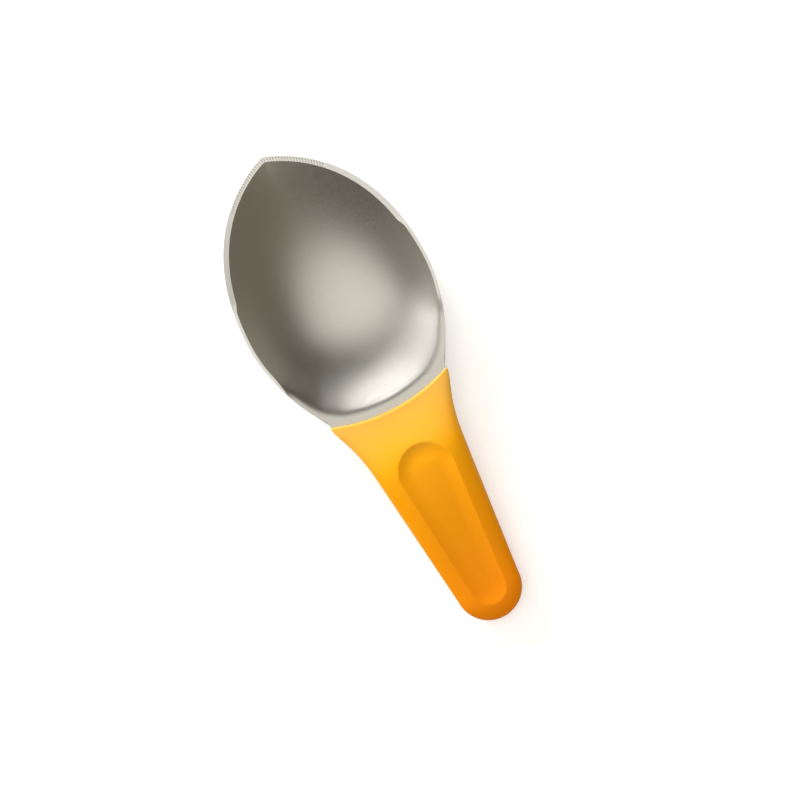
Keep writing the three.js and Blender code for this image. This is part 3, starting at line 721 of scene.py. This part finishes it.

# The scoop's third slot is the sheet steel again, for the painted shade in the tooth gaps.
for piece, node, slot, materials in (
    (scoop, "scoop_with_tang", "satin_steel", [steel, ground_material(), steel]),
    (top, "handle_top_shell", "handle_plastic", [plastic]),
    (bottom, "handle_bottom_shell", "handle_plastic", [plastic]),
):
    for material in materials:
        piece.data.materials.append(material)
    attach(piece, "root")
    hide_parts(node)

# Stage

FLOOR_SIZE = 8
FLOOR_DROP = 0.0002
bpy.ops.mesh.primitive_plane_add(size=FLOOR_SIZE, location=(0, 0, -FLOOR_DROP))
floor = bpy.context.object
floor.name = "floor"
floor.data.materials.append(floor_material())

SOFTBOX = Vector((-0.36, -0.05, 0.93))
SOFTBOX_SQUEEZE = Vector((0.55, 1, 1))
DIM_TO_BRIGHT = Vector((0.45, -0.89, 0))


def make_world():
    """A dim warm room, brighter behind the handle, with one broad soft light overhead, a little to the
    left."""
    world = bpy.data.worlds.new("studio")
    bpy.context.scene.world = world
    world.use_nodes = True
    tree = world.node_tree
    place = tree.nodes.new("ShaderNodeTexCoord")

    def vector(operation, first, second=(0, 0, 0)):
        """A sum on vectors, of a node's output and a fixed one."""
        node = tree.nodes.new("ShaderNodeVectorMath")
        node.operation = operation
        node.inputs[1].default_value = second
        tree.links.new(first, node.inputs[0])
        return node.outputs["Value" if operation == "DOT_PRODUCT" else "Vector"]

    direction = place.outputs["Generated"]
    side = spread(tree, vector("DOT_PRODUCT", direction, DIM_TO_BRIGHT), 0, 1, 0, 0.95)
    room = mix_colours(tree, side, (0.045, 0.039, 0.028), (0.19, 0.166, 0.121))
    # The soft light is wider across the tool, so directions are squeezed that way before they are compared.
    squeezed = vector("NORMALIZE", vector("MULTIPLY", direction, SOFTBOX_SQUEEZE))
    axis = (SOFTBOX * SOFTBOX_SQUEEZE).normalized()
    glow = spread(tree, vector("DOT_PRODUCT", squeezed, axis), 0, 1, 0.6, 1.0)
    glow.node.interpolation_type = "SMOOTHSTEP"
    colour = mix_colours(tree, glow, room, (1.08, 1.055, 0.985))
    tree.links.new(colour, tree.nodes["Background"].inputs["Color"])


make_world()


def lamp(name, place, aim, size, brightness, colour=(1, 1, 1)):
    """A soft rectangular lamp of an even brightness, turned towards a point."""
    light = bpy.data.lights.new(name, "AREA")
    light.shape = "RECTANGLE"
    light.size, light.size_y = size
    light.energy = brightness * math.pi * size[0] * size[1]
    light.color = colour
    holder = bpy.data.objects.new(name, light)
    holder.location = place
    holder.rotation_euler = (Vector(aim) - Vector(place)).to_track_quat("-Z", "Y").to_euler()
    bpy.context.scene.collection.objects.link(holder)
    return holder


lamp("tip_panel", (-0.2, 0.8, 0.26), (0, 0, 0), (2.9, 0.42), 2.4)
key = lamp("key", (-0.4, 1.25, 0.48), (0, -0.05, 0), (0.8, 0.5), 14.5)
fill = lamp("fill", (0, 0, 1.4), (0, 0, 0), (1.2, 1.2), 1.1, (1, 0.92, 0.8))
for soft in (key, fill):
    soft.visible_glossy = False

# Camera, straight above the table, turned as the tool lies in the picture
PICTURE_TURN = math.radians(27.84)
CAMERA_HEIGHT = 1.85
LENS = 200
SENSOR_WIDTH = 36
AIM_RIGHT = 0.00683
AIM_UP = -0.00492
right = Vector((math.cos(PICTURE_TURN), -math.sin(PICTURE_TURN), 0))
up = Vector((math.sin(PICTURE_TURN), math.cos(PICTURE_TURN), 0))
camera_data = bpy.data.cameras.new("camera")
camera_data.lens = LENS
camera_data.sensor_width = SENSOR_WIDTH
camera = bpy.data.objects.new("camera", camera_data)
camera.location = AIM_RIGHT * right + AIM_UP * up + Vector((0, 0, CAMERA_HEIGHT))
camera.rotation_euler = (0, 0, -PICTURE_TURN)
bpy.context.scene.collection.objects.link(camera)
bpy.context.scene.camera = camera

bpy.context.scene.view_settings.view_transform = "Standard"
